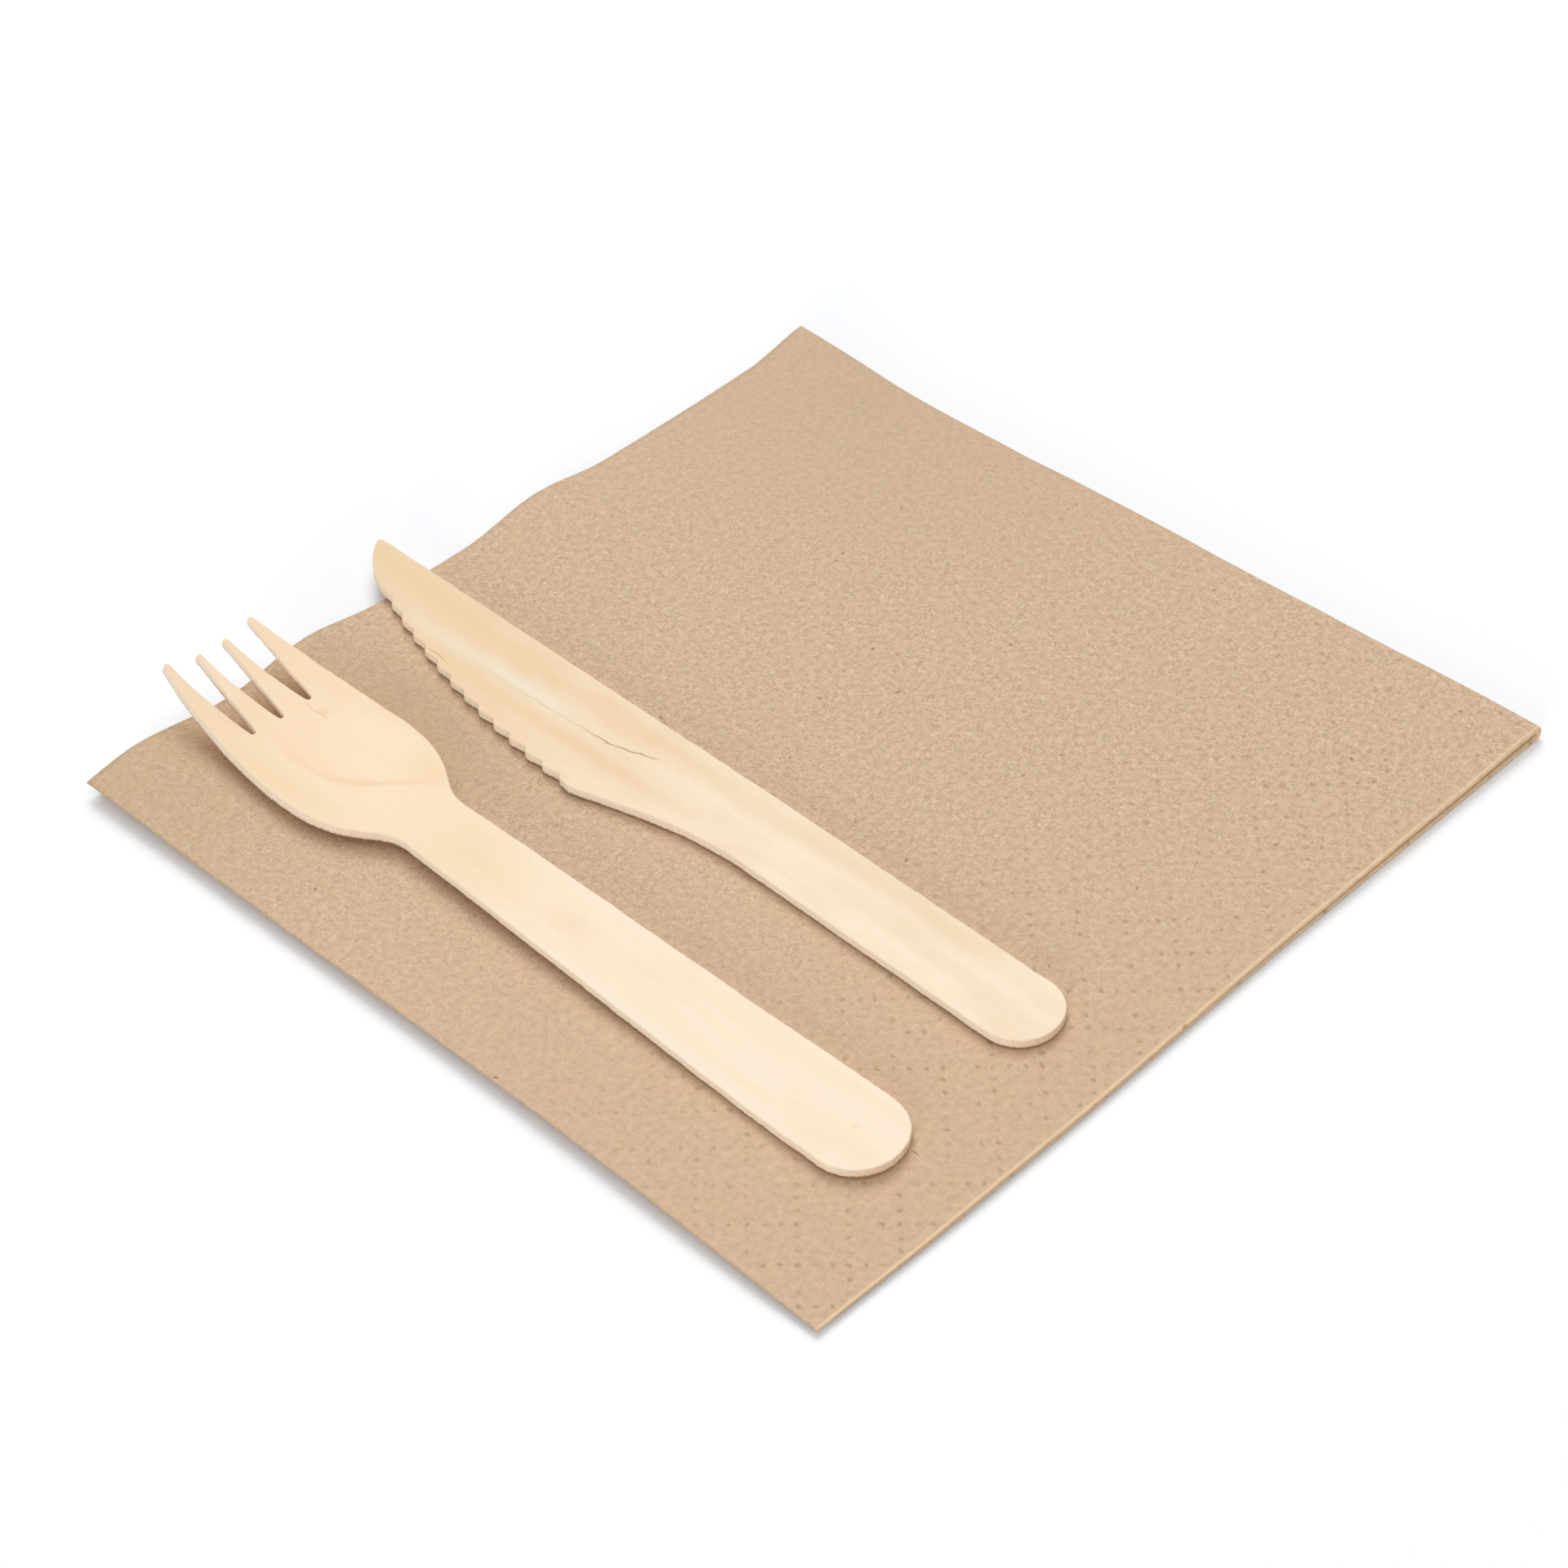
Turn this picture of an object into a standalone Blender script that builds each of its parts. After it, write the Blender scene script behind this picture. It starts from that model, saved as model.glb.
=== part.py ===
"""Wooden cutlery set: a fork and a knife of birch veneer, lying on a paper napkin folded in four.

Metres, +Z up. The origin is the middle of the folded napkin, on its underside. +X points from the
fork to the knife and +Y from the handles to the tips. The napkin is one square sheet of tissue,
folded in half along its front edge and then in half again along its right edge. The fork and the
knife are each stamped from one flat veneer, and the head of the fork is pressed to a shallow bowl.
"""
import math

import bmesh
import bpy
from mathutils import Matrix, Vector
from mathutils.geometry import interpolate_bezier

# Veneer and fit
VENEER = 0.0017                 # thickness of the birch veneer
EDGE_ROUND = 0.00025            # rounding that tumbling leaves along every stamped edge
REST_GAP = 0.0003               # clearance between the cutlery and the napkin under it

# Napkin
NAPKIN_SIDE = 0.165             # side of the folded square
TISSUE = 0.0003                 # thickness of the embossed sheet
LAYER_GAP = 0.00035             # air between the two layers of each half
FOLD_GAP = 0.0006               # air between the two halves, inside the second fold
RAW_EDGE_STEP = 0.0006          # how far the second cut back edge of each half lies inside the first
FOLD_SPRING = 0.16              # share by which the second fold stands thicker than the flat stack
SPRING_REACH = 0.022            # how far in from the fold that thickening dies out
FRONT_PRESS = 0.45              # share of the height that is pressed out at the front left corner
PRESS_REACH = 0.045             # how far from that corner the pressing reaches
BACK_CRESTS = (-0.072, -0.041, 0.013, 0.084)    # where the cut back edge curls up, along x
CREST_REACH = 0.017             # length of a crest to each side
EDGE_CURL = 0.0013              # lift of the crests
EDGE_SWAY = 0.0009              # how far the back edge draws in between them
CURL_REACH = 0.030              # how far in from the back edge the curl begins
BACK_SKEW = 0.0018              # how much further back that edge lies at its left than at its right
FRONT_SPREAD = 0.0012           # how much further out both sides lie at the front
SPREAD_REACH = 0.072            # how far back from the front edge that spread dies out
SIDE_DRAW = 0.0009              # how far both sides draw in behind the middle
DRAW_PLACE = 0.038              # where they draw in most, along y
DRAW_REACH = 0.045              # how far that reaches to the front and to the back
OVERHANG = 0.0025               # how far the top layer overhangs the bottom one along the left edge
OVERHANG_REACH = 0.020          # how far in from the left edge the layers lie askew
WIDTH_CELLS = 26                # cells across a flat layer, from side to side
DEPTH_CELLS = 12                # and from front to back
BEND_CELLS = 6                  # cells round a fold

# Fork, measured from the end of its handle
FORK_LENGTH = 0.1582
FORK_HANDLE_WIDTH = 0.0162      # across the round end of the handle
HANDLE_PARALLEL = 0.0200        # length of the handle's end that has parallel sides
FORK_NECK_WIDTH = 0.0124        # at the narrow end of the handle
FORK_NECK = 0.1015              # where the handle ends and the shoulders begin
FORK_HEAD_WIDTH = 0.0260        # across the widest part of the head
FORK_WIDEST = 0.1240            # where that part is
SHOULDER_PULL = 0.0065          # how long the shoulder runs on along the handle before it turns out
SHOULDER_RISE = 0.0150          # how far below the widest part the shoulder starts to straighten
TINE_LENGTH = 0.0189            # from the tips to the roots of the slots
TINE_TIP = 0.0011               # width of a tine at its tip
TIP_PITCH = 0.0058              # between the tips of an outer and an inner tine
TIP_INNER = 0.0055              # between the tips of the two inner tines
SLOT_ROOT = 0.0011              # width of a slot at its round root
ROOT_PITCH = 0.0059             # between the roots of neighbouring slots
SLOT_BELLY = 0.0003             # how far the sides of a slot bow outward half way along
HANDLE_FLAT = 0.0200            # length of the handle's end that lies flat
NECK_LIFT = 0.0015              # height of the neck over the handle's end
BOWL_BOTTOM = 0.1250            # where the underside of the bowl touches down
TIP_LIFT = 0.0066               # rise of the middle of the head from there to the tips
CUP_RADIUS = 0.060              # radius that the head is pressed to, across its width
HANDLE_CELLS = 6                # cuts along the bent part of the handle
HEAD_CELLS = 15                 # cuts along the head
CUP_CELLS = 8                   # strips across the head
TINE_CELLS = 5                  # cells along the side of a tine
SWEEP_CELLS = 14                # cells along a sweep from a handle into the head or the blade
ROUND_CELLS = 18                # cells round the end of a handle
TIP_CELLS = 9                   # cells along the curved tip of the knife

# Knife, measured from the end of its handle; its back is the line x = 0
KNIFE_LENGTH = 0.1637
KNIFE_HANDLE_WIDTH = 0.0142
HANDLE_LEAN = 0.0006            # how far the handle's end leans away from the line of the back
LEAN_START = 0.0660             # where the lean begins
HANDLE_WAIST = 0.0600           # where the handle begins to widen to the blade
BLADE_WIDTH = 0.0207            # from the back to the heel of the cutting edge
HEEL = 0.0932                   # where the heel is
HEEL_ROUND = 0.0022             # length of the rounded heel
EDGE_RADIUS = 0.182             # radius of the curve that the tooth points lie on
EDGE_TANGENT = 0.0880           # where that curve runs parallel to the back
TOOTH_COUNT = 13
TOOTH_PITCH = 0.00446           # measured along the back
TOOTH_DEPTH = 0.00085
TOOTH_STEP = 0.0010             # length of the short flank of a tooth
FIRST_TOOTH = 0.0953            # point of the tooth next to the heel
TIP_BLUNT = 0.0007              # width of the blunt tip
BELLY_OUT = 0.0041              # pull of the tip's curve away from the back
BELLY_DROP = 0.0027             # and down from the tip
BELLY_RISE = 0.0062             # pull of the same curve up from the last tooth
WAIST_SWEEP = 0.0160            # pull of the ogee up along the handle from the waist

# Where the cutlery lies on the napkin, at the end of each handle
FORK_FROM_LEFT = 0.02836        # from the napkin's left edge to the middle of the fork's handle
FORK_FROM_FRONT = 0.0117        # from the napkin's front edge to the end of that handle
KNIFE_FROM_FORK = 0.04187       # from there across to the back of the knife
KNIFE_SETBACK = 0.0001          # how much nearer to the front edge the knife's handle ends
FORK_TURN = math.radians(-0.79)
KNIFE_TURN = math.radians(-0.81)
FORK_PLACE = (FORK_FROM_LEFT - NAPKIN_SIDE / 2, FORK_FROM_FRONT - NAPKIN_SIDE / 2)
KNIFE_PLACE = (FORK_PLACE[0] + KNIFE_FROM_FORK, FORK_PLACE[1] - KNIFE_SETBACK)

HALF_HEIGHT = 2 * TISSUE + LAYER_GAP
NAPKIN_HEIGHT = 2 * HALF_HEIGHT + FOLD_GAP
CUTLERY_BASE = NAPKIN_HEIGHT + REST_GAP


def smoothstep(start, end, value):
    """Ease from 0 at start to 1 at end, level at both."""
    share = min(max((value - start) / (end - start), 0.0), 1.0)
    return share * share * (3.0 - 2.0 * share)


def curve(start, start_handle, end_handle, end, cells):
    """Points along a Bezier curve, without the last one."""
    knots = [Vector(point) for point in (start, start_handle, end_handle, end)]
    return [(p.x, p.y) for p in interpolate_bezier(*knots, cells + 1)][:-1]


def arc(centre, radius, start_angle, end_angle, cells):
    """Points along an arc, both ends included; the angles are in degrees."""
    points = []
    for cell in range(cells + 1):
        angle = math.radians(start_angle + (end_angle - start_angle) * cell / cells)
        points.append((centre[0] + radius * math.cos(angle), centre[1] + radius * math.sin(angle)))
    return points


def plain_material(name, colour, roughness):
    material = bpy.data.materials.new(name)
    material.use_nodes = True
    shader = material.node_tree.nodes["Principled BSDF"]
    shader.inputs["Base Color"].default_value = (*colour, 1.0)
    shader.inputs["Roughness"].default_value = roughness
    shader.inputs["Metallic"].default_value = 0.0
    return material


def add_object(name, mesh_data, material):
    """Make the bmesh a named object of its own, shaded smooth except across sharp edges."""
    bmesh.ops.recalc_face_normals(mesh_data, faces=mesh_data.faces)
    mesh = bpy.data.meshes.new(name)
    mesh_data.to_mesh(mesh)
    mesh_data.free()
    mesh.materials.append(material)
    mesh.shade_smooth()
    mesh.set_sharp_from_angle(angle=math.radians(40))
    part = bpy.data.objects.new(name, mesh)
    bpy.context.scene.collection.objects.link(part)
    return part


def stamped_plate(outline):
    """A flat plate of veneer with the given outline, its top and bottom rims rounded."""
    plate = bmesh.new()
    blank = plate.faces.new([plate.verts.new((x, y, 0.0)) for x, y in outline])
    raised = bmesh.ops.extrude_face_region(plate, geom=[blank])["geom"]
    lifted = [part for part in raised if isinstance(part, bmesh.types.BMVert)]
    bmesh.ops.translate(plate, verts=lifted, vec=(0.0, 0.0, VENEER))
    bmesh.ops.recalc_face_normals(plate, faces=plate.faces)
    rims = [edge for edge in plate.edges if abs(edge.verts[0].co.z - edge.verts[1].co.z) < VENEER / 2]
    bmesh.ops.bevel(plate, geom=rims, offset=EDGE_ROUND, segments=2, profile=0.5, affect="EDGES")
    return plate


def score(plate, direction, places):
    """Cut the faces of the plate straight across at each place, so that it can bend there."""
    for place in places:
        everything = plate.verts[:] + plate.edges[:] + plate.faces[:]
        bmesh.ops.bisect_plane(plate, geom=everything, dist=1e-6, plane_co=direction * place,
                               plane_no=direction)


# The napkin

def first_fold():
    """Section of one half: (y, height, outward y, outward height) from cut edge to cut edge."""
    bend = (TISSUE + LAYER_GAP) / 2
    fold_y = -NAPKIN_SIDE / 2 + TISSUE / 2 + bend
    lower, upper = TISSUE / 2, TISSUE / 2 + 2 * bend
    start, end = NAPKIN_SIDE / 2, NAPKIN_SIDE / 2 - RAW_EDGE_STEP
    section = []
    for cell in range(DEPTH_CELLS):
        section.append((start + (fold_y - start) * cell / DEPTH_CELLS, lower, 0.0, -1.0))
    for cell in range(BEND_CELLS + 1):
        angle = math.radians(-90 - 180 * cell / BEND_CELLS)
        out_y, out_height = math.cos(angle), math.sin(angle)
        section.append((fold_y + bend * out_y, lower + bend + bend * out_height, out_y, out_height))
    for cell in range(1, DEPTH_CELLS + 1):
        section.append((fold_y + (end - fold_y) * cell / DEPTH_CELLS, upper, 0.0, 1.0))
    return section


def second_fold():
    """Stations along the second fold: (x, turn in degrees), from cut edge to cut edge."""
    fold_x = (NAPKIN_SIDE - NAPKIN_HEIGHT) / 2
    cut_x = -NAPKIN_SIDE / 2
    stations = []
    for cell in range(WIDTH_CELLS):
        stations.append((cut_x + (fold_x - cut_x) * cell / WIDTH_CELLS, -90.0))
    for cell in range(BEND_CELLS + 1):
        stations.append((fold_x, -90.0 + 180.0 * cell / BEND_CELLS))
    for cell in range(1, WIDTH_CELLS + 1):
        stations.append((fold_x + (cut_x - fold_x) * cell / WIDTH_CELLS, 90.0))
    return stations


def relaxed(x, y, z):
    """Where a point of the sharply folded stack comes to rest as the tissue springs and settles."""
    side = NAPKIN_SIDE / 2
    spring = FOLD_SPRING * smoothstep(side - SPRING_REACH, side, x)
    corner = math.hypot(x + side, y + side)
    press = FRONT_PRESS * (1.0 - smoothstep(0.0, PRESS_REACH, corner))
    crest = sum(1.0 - smoothstep(0.0, CREST_REACH, abs(x - place)) for place in BACK_CRESTS)
    near_back = smoothstep(side - CURL_REACH, side, y)
    sway = EDGE_SWAY * (1.0 - crest) + BACK_SKEW * x / NAPKIN_SIDE
    widen = FRONT_SPREAD * (1.0 - smoothstep(-side, -side + SPREAD_REACH, y))
    widen -= SIDE_DRAW * (1.0 - smoothstep(0.0, DRAW_REACH, abs(y - DRAW_PLACE)))
    near_left = 1.0 - smoothstep(-side, -side + OVERHANG_REACH, x)
    askew = OVERHANG * (1.0 - z / NAPKIN_HEIGHT) * near_left
    return (x + widen * x / side + askew, y - sway * near_back,
            z * (1.0 + spring) * (1.0 - press) + EDGE_CURL * crest * near_back)


def build_napkin(material):
    """One sheet of tissue: the section of the first fold, carried round the second."""
    centre = NAPKIN_HEIGHT / 2
    section, stations = first_fold(), second_fold()
    sheet = bmesh.new()
    sides = []
    for face_side in (0.5, -0.5):
        rows = []
        for x, turn in stations:
            along, up = math.cos(math.radians(turn)), math.sin(math.radians(turn))
            row = []
            for y, height, out_y, out_height in section:
                y_here = y + face_side * TISSUE * out_y
                reach = centre - (height + face_side * TISSUE * out_height)
                place = relaxed(x + reach * along, y_here, centre + reach * up)
                row.append(sheet.verts.new(place))
            rows.append(row)
        sides.append(rows)
    outer, inner = sides
    last_row, last = len(stations) - 1, len(section) - 1
    for i in range(last_row):
        for j in range(last):
            sheet.faces.new((outer[i][j], outer[i + 1][j], outer[i + 1][j + 1], outer[i][j + 1]))
            sheet.faces.new((inner[i][j], inner[i][j + 1], inner[i + 1][j + 1], inner[i + 1][j]))
    for j in range(last):
        for i in (0, last_row):
            sheet.faces.new((outer[i][j], outer[i][j + 1], inner[i][j + 1], inner[i][j]))
    for i in range(last_row):
        for j in (0, last):
            sheet.faces.new((outer[i][j], outer[i + 1][j], inner[i + 1][j], inner[i][j]))
    return add_object("napkin", sheet, material)


# The fork

def tine_side(root_x, tip_x, belly):
    """One side of a slot, from its root up to the tip of the tine."""
    root_y = FORK_LENGTH - TINE_LENGTH + SLOT_ROOT / 2
    tip_y = FORK_LENGTH - TINE_TIP / 2
    start, end = Vector((root_x, root_y, 0.0)), Vector((tip_x, tip_y, 0.0))
    bow = Vector((belly, 0.0, 0.0))
    return curve(start, start.lerp(end, 1 / 3) + bow, start.lerp(end, 2 / 3) + bow, end, TINE_CELLS)


def fork_half_outline():
    """Right half of the fork, from the end of its handle round to the root of the middle slot."""
    end, neck, head = FORK_HANDLE_WIDTH / 2, FORK_NECK_WIDTH / 2, FORK_HEAD_WIDTH / 2
    tip_y = FORK_LENGTH - TINE_TIP / 2
    root_y = FORK_LENGTH - TINE_LENGTH + SLOT_ROOT / 2
    inner_tip = TIP_INNER / 2
    outer_tip = inner_tip + TIP_PITCH
    tip, root = TINE_TIP / 2, SLOT_ROOT / 2

    points = arc((0.0, end), end, -90, 0, ROUND_CELLS // 2)
    points.append((end, HANDLE_PARALLEL))
    points += curve((neck, FORK_NECK, 0), (neck, FORK_NECK + SHOULDER_PULL, 0),
                    (head, FORK_WIDEST - SHOULDER_RISE, 0), (head, FORK_WIDEST, 0), SWEEP_CELLS)
    tine_run = (tip_y - FORK_WIDEST) / 4
    points += curve((head, FORK_WIDEST, 0), (head, FORK_WIDEST + tine_run, 0),
                    (outer_tip + tip + tine_run / 4, tip_y - tine_run, 0),
                    (outer_tip + tip, tip_y, 0), 2 * TINE_CELLS)
    points += arc((outer_tip, tip_y), tip, 0, 180, 4)[:-1]
    points += list(reversed(tine_side(ROOT_PITCH + root, outer_tip - tip, SLOT_BELLY)
                            + [(outer_tip - tip, tip_y)]))
    points += arc((ROOT_PITCH, root_y), root, 0, -180, 6)[1:-1]
    points += tine_side(ROOT_PITCH - root, inner_tip + tip, -SLOT_BELLY)
    points += arc((inner_tip, tip_y), tip, 0, 180, 4)[:-1]
    points += list(reversed(tine_side(root, inner_tip - tip, SLOT_BELLY)
                            + [(inner_tip - tip, tip_y)]))
    points += arc((0.0, root_y), root, 0, -90, 3)[1:]
    return points


def pressed_height(x, y):
    """Height that the press gives the middle of the veneer at a place on the fork."""
    neck = NECK_LIFT * smoothstep(HANDLE_FLAT, FORK_NECK, y)
    neck *= 1.0 - smoothstep(FORK_NECK, BOWL_BOTTOM, y)
    rise = max(y - BOWL_BOTTOM, 0.0) / (FORK_LENGTH - BOWL_BOTTOM)
    cup = x * x / (2 * CUP_RADIUS) * smoothstep(FORK_NECK, BOWL_BOTTOM, y)
    return neck + TIP_LIFT * rise * rise + cup


def press(plate):
    """Bend the flat plate to the press's form, its walls staying square to its faces."""
    step = 0.0001
    for vert in plate.verts:
        x, y, height = vert.co.x, vert.co.y, vert.co.z - VENEER / 2
        slope_x = (pressed_height(x + step, y) - pressed_height(x - step, y)) / (2 * step)
        slope_y = (pressed_height(x, y + step) - pressed_height(x, y - step)) / (2 * step)
        square = Vector((-slope_x, -slope_y, 1.0)).normalized()
        middle = Vector((x, y, pressed_height(x, y) + VENEER / 2))
        vert.co = middle + square * height


def build_fork(material):
    right = fork_half_outline()
    left = [(-x, y) for x, y in reversed(right[1:-1])]
    plate = stamped_plate(right + left)
    along, across = Vector((0.0, 1.0, 0.0)), Vector((1.0, 0.0, 0.0))
    score(plate, along, [HANDLE_FLAT + (FORK_NECK - HANDLE_FLAT) * cell / HANDLE_CELLS
                         for cell in range(HANDLE_CELLS)])
    score(plate, along, [FORK_NECK + (FORK_LENGTH - FORK_NECK) * cell / HEAD_CELLS
                         for cell in range(HEAD_CELLS)])
    score(plate, across, [FORK_HEAD_WIDTH * (cell / CUP_CELLS - 0.5)
                          for cell in range(1, CUP_CELLS)])
    bmesh.ops.triangulate(plate, faces=plate.faces)
    press(plate)
    fork = add_object("fork", plate, material)
    fork.matrix_world = (Matrix.Translation((*FORK_PLACE, CUTLERY_BASE))
                         @ Matrix.Rotation(FORK_TURN, 4, "Z"))
    return fork


# The knife

def tooth_line(y):
    """Place of the curve that the tooth points lie on, at a distance along the back."""
    return -BLADE_WIDTH + EDGE_RADIUS - math.sqrt(EDGE_RADIUS ** 2 - (y - EDGE_TANGENT) ** 2)


def knife_outline():
    """Round the knife counter-clockwise, from the start of the lean down round the handle."""
    half = KNIFE_HANDLE_WIDTH / 2
    end_centre = (-HANDLE_LEAN - half, half)
    last_valley = FIRST_TOOTH + (TOOTH_COUNT - 1) * TOOTH_PITCH + TOOTH_STEP
    valley_x = tooth_line(last_valley) + TOOTH_DEPTH
    belly_x, belly_y = -TIP_BLUNT - BELLY_OUT, KNIFE_LENGTH - BELLY_DROP

    points = [(0.0, KNIFE_LENGTH - TIP_BLUNT)]
    points += curve((-TIP_BLUNT, KNIFE_LENGTH, 0), (belly_x, belly_y, 0),
                    (valley_x, last_valley + BELLY_RISE, 0), (valley_x, last_valley, 0), TIP_CELLS)
    for tooth in reversed(range(TOOTH_COUNT)):
        point_y = FIRST_TOOTH + tooth * TOOTH_PITCH
        points.append((tooth_line(point_y + TOOTH_STEP) + TOOTH_DEPTH, point_y + TOOTH_STEP))
        points.append((tooth_line(point_y), point_y))
    waist = -KNIFE_HANDLE_WIDTH
    points += curve((-BLADE_WIDTH, HEEL, 0), (-BLADE_WIDTH, HEEL - HEEL_ROUND, 0),
                    (waist, HANDLE_WAIST + WAIST_SWEEP, 0), (waist, HANDLE_WAIST, 0), SWEEP_CELLS)
    points += arc(end_centre, half, 180, 360, ROUND_CELLS)
    points.append((0.0, LEAN_START))
    return points


def build_knife(material):
    knife = add_object("knife", stamped_plate(knife_outline()), material)
    knife.matrix_world = (Matrix.Translation((*KNIFE_PLACE, CUTLERY_BASE))
                          @ Matrix.Rotation(KNIFE_TURN, 4, "Z"))
    return knife


for old in list(bpy.data.objects):
    bpy.data.objects.remove(old, do_unlink=True)

build_napkin(plain_material("kraft_tissue", (0.61, 0.46, 0.32), 0.95))
build_fork(plain_material("birch_fork", (0.93, 0.78, 0.58), 0.6))
build_knife(plain_material("birch_knife", (0.92, 0.77, 0.57), 0.6))
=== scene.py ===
import math

import bmesh
import bpy
from mathutils import Matrix, Vector, noise
from mathutils.geometry import interpolate_bezier


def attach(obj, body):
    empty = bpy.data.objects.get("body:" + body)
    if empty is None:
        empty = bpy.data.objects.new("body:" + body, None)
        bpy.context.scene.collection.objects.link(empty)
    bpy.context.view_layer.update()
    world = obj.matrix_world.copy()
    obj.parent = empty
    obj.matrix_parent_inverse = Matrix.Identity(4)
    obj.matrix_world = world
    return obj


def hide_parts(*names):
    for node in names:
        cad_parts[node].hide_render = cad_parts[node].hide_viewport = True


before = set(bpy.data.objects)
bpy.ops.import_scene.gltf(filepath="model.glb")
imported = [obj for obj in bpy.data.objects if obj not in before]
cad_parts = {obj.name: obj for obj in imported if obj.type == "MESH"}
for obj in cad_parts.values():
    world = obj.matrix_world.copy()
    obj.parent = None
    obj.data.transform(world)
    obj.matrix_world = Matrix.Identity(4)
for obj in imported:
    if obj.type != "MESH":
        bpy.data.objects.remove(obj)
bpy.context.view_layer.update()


# Napkin: one square sheet of unbleached kraft tissue, 330 mm a side, embossed with dots in crossed
# rows and folded in half twice, along its front and right edges. It lies loose on the table, pressed
# thin along the front, its cut edges curling at the back and stepped under the top one at the left.

napkin_side = 0.165
tissue_thickness = 0.0003
layer_air, halves_air = 0.00035, 0.0006
back_edge_step = 0.0006
napkin_height = 2 * (2 * tissue_thickness + layer_air) + halves_air
back_crests = (-0.072, -0.036, 0.016, 0.084)
hover = 0.0007                      # of the front fold above the table, where it is pressed thin
dot_step = 0.0017                   # from one column of dots to the next
dot_square = dot_step * math.sqrt(2)            # side of the turned square that holds one dot
dot_column, dot_row = 0.00034, 0.00068          # where one dot lies on the top layer
dot_radius, dot_depth = 0.00095, 0.00012
cockle_height, cockle_size = 0.00025, 0.020
coarse_cell, bend_cell = 0.005, 0.002           # of the sheet's mesh where it has no dots
close_line = -0.020                 # the mesh is finer from here to the front, where dots show best


def ease(start, end, value):
    """From 0 at start to 1 at end, level at both."""
    share = min(max((value - start) / (end - start), 0.0), 1.0)
    return share * share * (3.0 - 2.0 * share)


def pressed_flat(x, y):
    """How much flatter the stack lies here: at its front left corner, and along its front fold."""
    side = napkin_side / 2
    corner = 0.45 * (1.0 - ease(0.0, 0.045, math.hypot(x + side, y + side)))
    front = 0.60 * (1.0 - ease(-side + 0.001, -side + 0.013, y)) * (1.0 - ease(-0.020, 0.070, x))
    return 1.0 - (1.0 - corner) * (1.0 - front)


def at_rest(x, y, z):
    """Where a point of the sharply folded square comes to rest as the tissue springs and settles."""
    side, low = napkin_side / 2, tissue_thickness / 2
    spring = 0.16 * ease(side - 0.022, side, x)
    press = pressed_flat(x, y)
    crest = sum(1.0 - ease(0.0, 0.017, abs(x - place)) for place in back_crests)
    near_back, near_front = ease(side - 0.030, side, y), 1.0 - ease(-side, -side + 0.030, y)
    sway = 0.0009 * (1.0 - crest) + 0.0018 * x / napkin_side
    belly = 0.0009 * (1.0 - ease(-0.035, 0.025, x)) * (0.6 + 0.4 * ease(-side, -0.055, x))
    left = 0.0007 * (1.0 - ease(-side, -side + 0.050, y)) - 0.0004 * ease(-0.050, -0.010, y)
    right = 0.0012 * (1.0 - ease(-side, -side + 0.072, y)) + 0.0005 * (1.0 - ease(0.0, 0.070, y))
    right -= 0.0009 * (1.0 - ease(0.0, 0.045, abs(y - 0.038)))
    share = (x + side) / napkin_side
    askew = 0.0025 * (1.0 - z / napkin_height) * (1.0 - ease(-side, -side + 0.020, x))
    height = (z - low) * (1.0 + spring) * (1.0 - press) + hover * press
    return Vector((x - left * (1.0 - share) + right * share + askew,
                   y - sway * near_back - belly * near_front,
                   low + height + 0.0013 * crest * near_back))


def stops(start, end, step, through):
    """Places from start to end: both edges, and every step that meets a line of dots."""
    low, high = min(start, end), max(start, end)
    first = math.ceil((low - through) / step + 0.2)
    last = math.floor((high - through) / step - 0.2)
    places = [low] + [through + step * count for count in range(first, last + 1)] + [high]
    return places if start < end else places[::-1]


def lengths(points):
    """How far each point lies along the line through them all."""
    along = [0.0]
    for one, two in zip(points, points[1:]):
        along.append(along[-1] + math.dist(one, two))
    return along


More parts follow.
